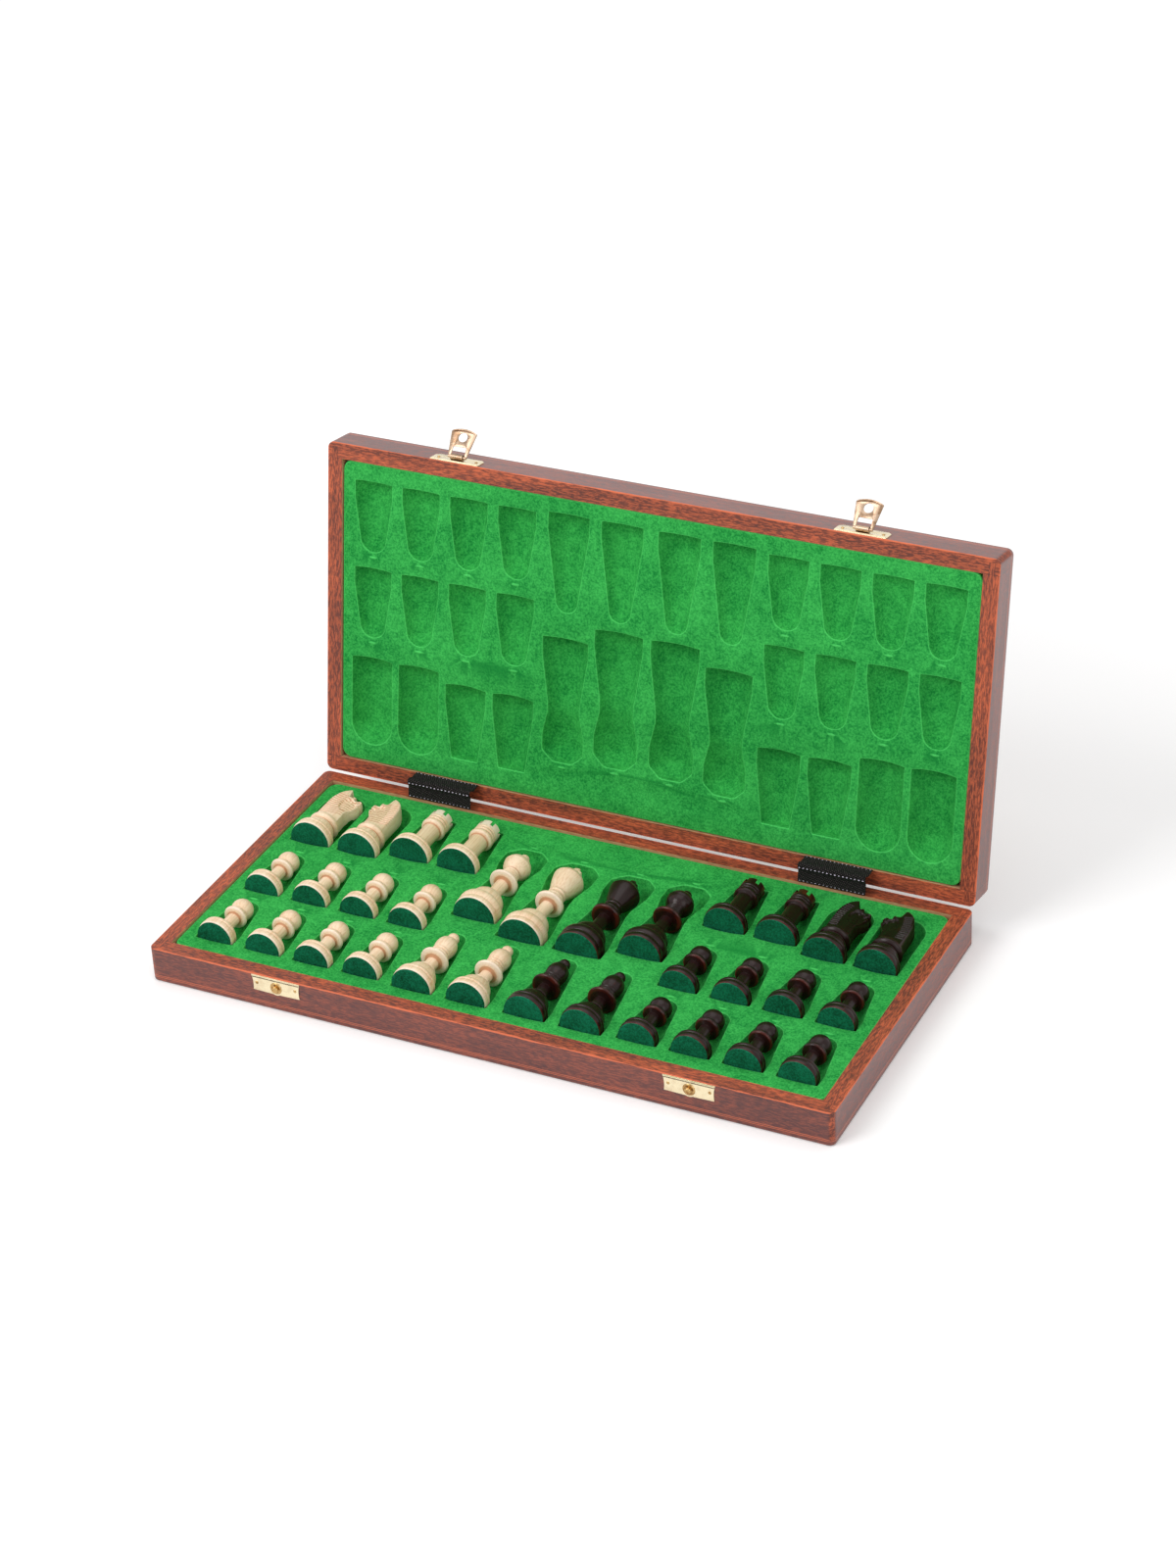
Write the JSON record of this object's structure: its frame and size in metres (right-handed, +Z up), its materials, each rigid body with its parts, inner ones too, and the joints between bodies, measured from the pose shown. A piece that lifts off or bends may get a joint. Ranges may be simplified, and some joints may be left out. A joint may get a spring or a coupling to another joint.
{
  "type": "chess box with hinged lid",
  "caption": "Folding wooden chess box, open, with two hinged half-board trays, green flocked inserts holding the men on their sides, cloth hinge straps and brass hook-over latches.",
  "frame": {"origin": "centre of the lower half's underside, where the box stands", "axes": "+X along the length, to the right seen from the latches; +Y towards the hinge; +Z up"},
  "size_m": [0.48, 0.3082, 0.2758],
  "materials": {
    "stained_beech": "satin lacquer",
    "dark_veneer": "satin lacquer",
    "light_veneer": "satin lacquer",
    "light_men": "satin lacquer",
    "dark_men": "gloss lacquer",
    "green_flock": "matt flock",
    "strap_cloth": "matt woven",
    "brass": "polished"
  },
  "bodies": {
    "base": {"base_board_panel": "stained_beech", "base_dark_squares": "dark_veneer", "base_light_squares": "light_veneer", "base_front_rail": "stained_beech", "base_back_rail": "stained_beech", "base_left_rail": "stained_beech", "base_right_rail": "stained_beech", "base_tray": "green_flock", "base_fasteners": "brass", "hinge_base_leaves": "brass", "hinge_pins": "brass", "latch_catch_plates": "brass"},
    "lid": {"lid_board_panel": "stained_beech", "lid_dark_squares": "dark_veneer", "lid_light_squares": "light_veneer", "lid_front_rail": "stained_beech", "lid_back_rail": "stained_beech", "lid_left_rail": "stained_beech", "lid_right_rail": "stained_beech", "lid_tray": "green_flock", "lid_fasteners": "brass", "hinge_lid_leaves": "brass", "latch_hinge_plates": "brass"},
    "latch_flap_left": {"latch_flap_left": "brass"},
    "latch_flap_right": {"latch_flap_right": "brass"},
    "strap_lower": {"hinge_straps_lower": "strap_cloth"},
    "strap_upper": {"hinge_straps_upper": "strap_cloth"},
    "light_king": {"light_king": "light_men"},
    "light_queen": {"light_queen": "light_men"},
    "light_rook_1": {"light_rook_1": "light_men"},
    "light_rook_2": {"light_rook_2": "light_men"},
    "light_knight_1": {"light_knight_1": "light_men"},
    "light_knight_2": {"light_knight_2": "light_men"},
    "light_bishop_1": {"light_bishop_1": "light_men"},
    "light_bishop_2": {"light_bishop_2": "light_men"},
    "light_pawn_1": {"light_pawn_1": "light_men"},
    "light_pawn_2": {"light_pawn_2": "light_men"},
    "light_pawn_3": {"light_pawn_3": "light_men"},
    "light_pawn_4": {"light_pawn_4": "light_men"},
    "light_pawn_5": {"light_pawn_5": "light_men"},
    "light_pawn_6": {"light_pawn_6": "light_men"},
    "light_pawn_7": {"light_pawn_7": "light_men"},
    "light_pawn_8": {"light_pawn_8": "light_men"},
    "dark_king": {"dark_king": "dark_men"},
    "dark_queen": {"dark_queen": "dark_men"},
    "dark_rook_1": {"dark_rook_1": "dark_men"},
    "dark_rook_2": {"dark_rook_2": "dark_men"},
    "dark_knight_1": {"dark_knight_1": "dark_men"},
    "dark_knight_2": {"dark_knight_2": "dark_men"},
    "dark_bishop_1": {"dark_bishop_1": "dark_men"},
    "dark_bishop_2": {"dark_bishop_2": "dark_men"},
    "dark_pawn_1": {"dark_pawn_1": "dark_men"},
    "dark_pawn_2": {"dark_pawn_2": "dark_men"},
    "dark_pawn_3": {"dark_pawn_3": "dark_men"},
    "dark_pawn_4": {"dark_pawn_4": "dark_men"},
    "dark_pawn_5": {"dark_pawn_5": "dark_men"},
    "dark_pawn_6": {"dark_pawn_6": "dark_men"},
    "dark_pawn_7": {"dark_pawn_7": "dark_men"},
    "dark_pawn_8": {"dark_pawn_8": "dark_men"}
  },
  "joints": [
    {"name": "lid_hinge", "type": "hinge", "parent": "base", "child": "lid", "pos_m": [0, 0.1195, 0.0255], "axis": [-1, 0, 0], "range_deg": [-100, 80]},
    {"name": "latch_flap_left_pivot", "type": "hinge", "parent": "lid", "child": "latch_flap_left", "pos_m": [-0.145, 0.16726, 0.2618], "axis": [-1, 0, 0], "range_deg": [-127, 40]},
    {"name": "latch_flap_right_pivot", "type": "hinge", "parent": "lid", "child": "latch_flap_right", "pos_m": [0.145, 0.16726, 0.2618], "axis": [-1, 0, 0], "range_deg": [-127, 40]},
    {"name": "strap_seat_fold", "type": "hinge", "parent": "base", "child": "strap_lower", "pos_m": [0, 0.108, 0.0255], "axis": [-1, 0, 0], "range_deg": [-100, 80]},
    {"name": "strap_crease_fold", "type": "hinge", "parent": "strap_lower", "child": "strap_upper", "pos_m": [0, 0.11, 0.03682], "axis": [-1, 0, 0], "range_deg": [-80, 100]},
    {"name": "lift_light_king", "type": "slide", "parent": "base", "child": "light_king", "axis": [0, 0, 1], "range_m": [0, 0.04]},
    {"name": "lift_light_queen", "type": "slide", "parent": "base", "child": "light_queen", "axis": [0, 0, 1], "range_m": [0, 0.04]},
    {"name": "lift_light_rook_1", "type": "slide", "parent": "base", "child": "light_rook_1", "axis": [0, 0, 1], "range_m": [0, 0.04]},
    {"name": "lift_light_rook_2", "type": "slide", "parent": "base", "child": "light_rook_2", "axis": [0, 0, 1], "range_m": [0, 0.04]},
    {"name": "lift_light_knight_1", "type": "slide", "parent": "base", "child": "light_knight_1", "axis": [0, 0, 1], "range_m": [0, 0.04]},
    {"name": "lift_light_knight_2", "type": "slide", "parent": "base", "child": "light_knight_2", "axis": [0, 0, 1], "range_m": [0, 0.04]},
    {"name": "lift_light_bishop_1", "type": "slide", "parent": "base", "child": "light_bishop_1", "axis": [0, 0, 1], "range_m": [0, 0.04]},
    {"name": "lift_light_bishop_2", "type": "slide", "parent": "base", "child": "light_bishop_2", "axis": [0, 0, 1], "range_m": [0, 0.04]},
    {"name": "lift_light_pawn_1", "type": "slide", "parent": "base", "child": "light_pawn_1", "axis": [0, 0, 1], "range_m": [0, 0.04]},
    {"name": "lift_light_pawn_2", "type": "slide", "parent": "base", "child": "light_pawn_2", "axis": [0, 0, 1], "range_m": [0, 0.04]},
    {"name": "lift_light_pawn_3", "type": "slide", "parent": "base", "child": "light_pawn_3", "axis": [0, 0, 1], "range_m": [0, 0.04]},
    {"name": "lift_light_pawn_4", "type": "slide", "parent": "base", "child": "light_pawn_4", "axis": [0, 0, 1], "range_m": [0, 0.04]},
    {"name": "lift_light_pawn_5", "type": "slide", "parent": "base", "child": "light_pawn_5", "axis": [0, 0, 1], "range_m": [0, 0.04]},
    {"name": "lift_light_pawn_6", "type": "slide", "parent": "base", "child": "light_pawn_6", "axis": [0, 0, 1], "range_m": [0, 0.04]},
    {"name": "lift_light_pawn_7", "type": "slide", "parent": "base", "child": "light_pawn_7", "axis": [0, 0, 1], "range_m": [0, 0.04]},
    {"name": "lift_light_pawn_8", "type": "slide", "parent": "base", "child": "light_pawn_8", "axis": [0, 0, 1], "range_m": [0, 0.04]},
    {"name": "lift_dark_king", "type": "slide", "parent": "base", "child": "dark_king", "axis": [0, 0, 1], "range_m": [0, 0.04]},
    {"name": "lift_dark_queen", "type": "slide", "parent": "base", "child": "dark_queen", "axis": [0, 0, 1], "range_m": [0, 0.04]},
    {"name": "lift_dark_rook_1", "type": "slide", "parent": "base", "child": "dark_rook_1", "axis": [0, 0, 1], "range_m": [0, 0.04]},
    {"name": "lift_dark_rook_2", "type": "slide", "parent": "base", "child": "dark_rook_2", "axis": [0, 0, 1], "range_m": [0, 0.04]},
    {"name": "lift_dark_knight_1", "type": "slide", "parent": "base", "child": "dark_knight_1", "axis": [0, 0, 1], "range_m": [0, 0.04]},
    {"name": "lift_dark_knight_2", "type": "slide", "parent": "base", "child": "dark_knight_2", "axis": [0, 0, 1], "range_m": [0, 0.04]},
    {"name": "lift_dark_bishop_1", "type": "slide", "parent": "base", "child": "dark_bishop_1", "axis": [0, 0, 1], "range_m": [0, 0.04]},
    {"name": "lift_dark_bishop_2", "type": "slide", "parent": "base", "child": "dark_bishop_2", "axis": [0, 0, 1], "range_m": [0, 0.04]},
    {"name": "lift_dark_pawn_1", "type": "slide", "parent": "base", "child": "dark_pawn_1", "axis": [0, 0, 1], "range_m": [0, 0.04]},
    {"name": "lift_dark_pawn_2", "type": "slide", "parent": "base", "child": "dark_pawn_2", "axis": [0, 0, 1], "range_m": [0, 0.04]},
    {"name": "lift_dark_pawn_3", "type": "slide", "parent": "base", "child": "dark_pawn_3", "axis": [0, 0, 1], "range_m": [0, 0.04]},
    {"name": "lift_dark_pawn_4", "type": "slide", "parent": "base", "child": "dark_pawn_4", "axis": [0, 0, 1], "range_m": [0, 0.04]},
    {"name": "lift_dark_pawn_5", "type": "slide", "parent": "base", "child": "dark_pawn_5", "axis": [0, 0, 1], "range_m": [0, 0.04]},
    {"name": "lift_dark_pawn_6", "type": "slide", "parent": "base", "child": "dark_pawn_6", "axis": [0, 0, 1], "range_m": [0, 0.04]},
    {"name": "lift_dark_pawn_7", "type": "slide", "parent": "base", "child": "dark_pawn_7", "axis": [0, 0, 1], "range_m": [0, 0.04]},
    {"name": "lift_dark_pawn_8", "type": "slide", "parent": "base", "child": "dark_pawn_8", "axis": [0, 0, 1], "range_m": [0, 0.04]}
  ],
  "couplings": [
    {"joint": "strap_seat_fold", "follows": "lid_hinge", "ratio": 1},
    {"joint": "strap_crease_fold", "follows": "lid_hinge", "ratio": -1}
  ]
}
